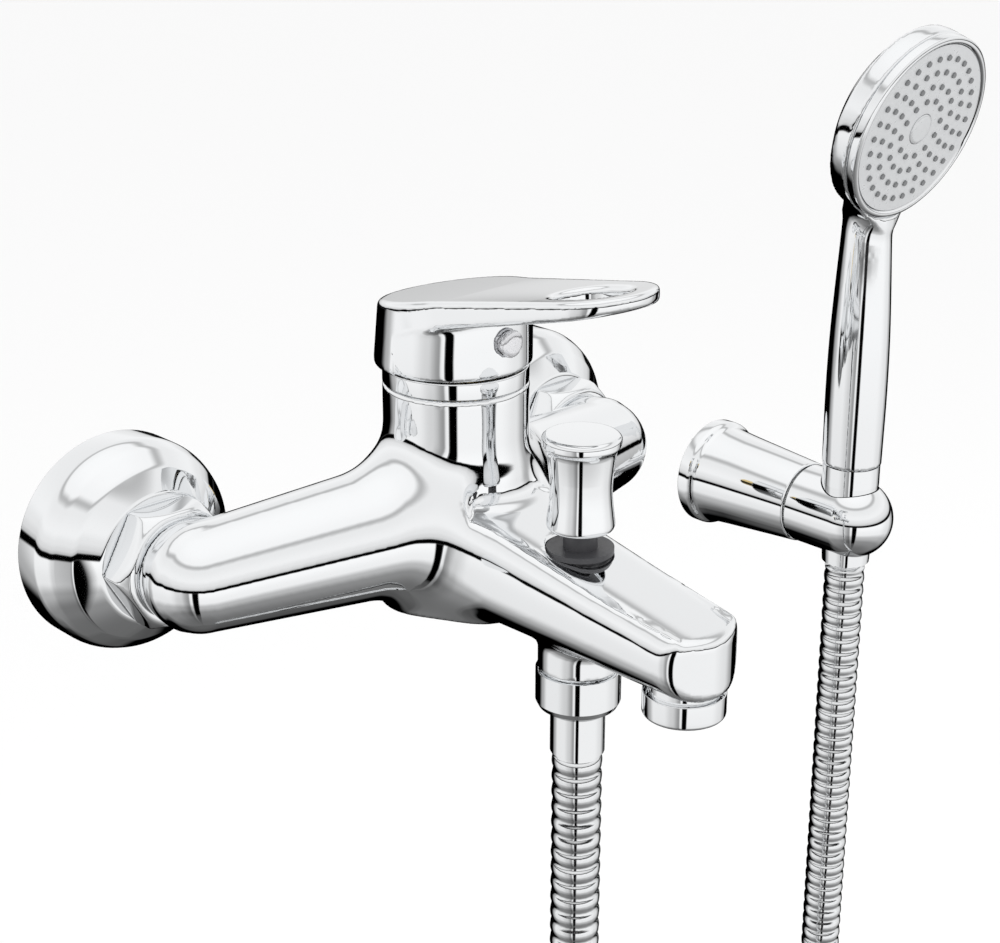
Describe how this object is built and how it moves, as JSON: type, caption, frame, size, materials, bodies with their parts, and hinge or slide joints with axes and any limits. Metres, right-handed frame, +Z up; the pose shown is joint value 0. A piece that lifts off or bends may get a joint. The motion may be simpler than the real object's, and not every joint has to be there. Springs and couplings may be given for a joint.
{
  "type": "wall mounted bath faucet",
  "caption": "Single-lever wall bath mixer with pull-up diverter on the spout, metal hose, wall bracket and hand shower with a round spray face.",
  "frame": {"origin": "on the wall face, midway between the two wall inlets", "axes": "+X along the wall to the right seen from the room, +Y into the wall, +Z up"},
  "size_m": [0.314, 0.173, 0.6012],
  "materials": {
    "polished_chrome": "mirror-polished chrome plate on brass",
    "hose_steel": "chromed interlocked steel strip over a rubber tube",
    "chromed_plastic": "mirror chrome plate on ABS",
    "raw_brass": "machined",
    "black_rubber": "smooth",
    "nozzle_rubber": "smooth silicone",
    "ceramic": "lapped ceramic",
    "white_plastic": "moulded",
    "blue_plastic": "moulded",
    "dark_plastic": "moulded",
    "stainless_steel": "bright stainless steel",
    "blackened_steel": "black oxide",
    "index_plastic": "clear-coated, with a faint red and a faint blue side",
    "satin_grey": "satin moulded"
  },
  "bodies": {
    "faucet": {"faucet_body": "polished_chrome", "left_union": "raw_brass", "right_union": "raw_brass", "left_rosette": "polished_chrome", "right_rosette": "polished_chrome", "left_union_nut": "polished_chrome", "right_union_nut": "polished_chrome", "inlet_washers": "black_rubber", "inlet_strainers": "stainless_steel", "cartridge_seal": "black_rubber", "cartridge_base": "white_plastic", "fixed_ceramic_disc": "ceramic", "cartridge_housing": "white_plastic", "retaining_nut": "raw_brass", "dress_ring": "polished_chrome", "diverter_bonnet": "dark_plastic", "bonnet_o_ring": "black_rubber", "diverter_spring": "stainless_steel", "aerator_housing": "polished_chrome", "aerator_insert": "white_plastic", "aerator_washer": "black_rubber", "check_valve_seat": "white_plastic", "check_valve_spring": "stainless_steel", "outlet_washer": "black_rubber", "hose_nut": "polished_chrome", "outlet_ferrule": "polished_chrome", "hose_outlet_leg": "hose_steel", "hose_coil": "hose_steel", "hose_handset_leg": "hose_steel", "hose_tie": "black_rubber", "wall_plate": "stainless_steel", "plate_screws": "stainless_steel", "bracket_body": "polished_chrome", "bracket_grub_screw": "blackened_steel", "swivel_bolt": "stainless_steel", "swivel_washer": "white_plastic"},
    "cartridge_core": {"cartridge_rotor": "dark_plastic", "pivot_pin": "stainless_steel"},
    "mixing_disc": {"moving_ceramic_disc": "ceramic", "disc_carrier": "blue_plastic"},
    "lever": {"lever_handle": "polished_chrome", "lever_screw": "blackened_steel", "index_button": "index_plastic", "cartridge_stem": "raw_brass"},
    "diverter": {"diverter_knob": "polished_chrome", "diverter_stem": "stainless_steel", "diverter_disc": "raw_brass", "diverter_seal": "black_rubber"},
    "check_poppet": {"check_valve_poppet": "blue_plastic"},
    "holder": {"swivel_holder": "polished_chrome"},
    "hose_end": {"cone_nut": "polished_chrome", "handset_ferrule": "polished_chrome"},
    "handset": {"handset_washer": "black_rubber", "handset_shell": "chromed_plastic", "handset_nipple": "raw_brass", "nozzle_mat": "nozzle_rubber", "spray_plate": "satin_grey", "spray_ring": "chromed_plastic", "spray_cap": "satin_grey"}
  },
  "joints": [
    {"name": "lever_turn", "type": "hinge", "parent": "faucet", "child": "cartridge_core", "pos_m": [0, -0.059, 0.044], "axis": [0, 0, 1], "range_deg": [-45, 45]},
    {"name": "lever_lift", "type": "hinge", "parent": "cartridge_core", "child": "lever", "pos_m": [0, -0.059, 0.044], "axis": [-1, 0, 0], "range_deg": [0, 18]},
    {"name": "disc_slide", "type": "slide", "parent": "cartridge_core", "child": "mixing_disc", "axis": [0, -1, 0], "range_m": [0, 0.0047]},
    {"name": "diverter_pull", "type": "slide", "parent": "faucet", "child": "diverter", "axis": [0, 0, 1], "range_m": [0, 0.006], "stiffness_N_per_m": 200, "springref_m": -0.003, "deforming": ["diverter_spring"]},
    {"name": "check_valve_slide", "type": "slide", "parent": "faucet", "child": "check_poppet", "axis": [0, 0, -1], "range_m": [0, 0.002], "stiffness_N_per_m": 40, "springref_m": -0.002, "deforming": ["check_valve_spring"]},
    {"name": "holder_swivel", "type": "hinge", "parent": "faucet", "child": "holder", "pos_m": [0.178, -0.045, -0.046], "axis": [0, -1, 0], "range_deg": [-25, 25]},
    {"name": "handset_lift", "type": "slide", "parent": "holder", "child": "hose_end", "axis": [0, 0, 1], "range_m": [0, 0.045]},
    {"name": "handset_turn", "type": "hinge", "parent": "hose_end", "child": "handset", "pos_m": [0.178, -0.062, 0], "axis": [0, 0, 1], "continuous": true}
  ],
  "couplings": [
    {"joint": "disc_slide", "follows": "lever_lift", "m_per_rad": 0.014754}
  ]
}
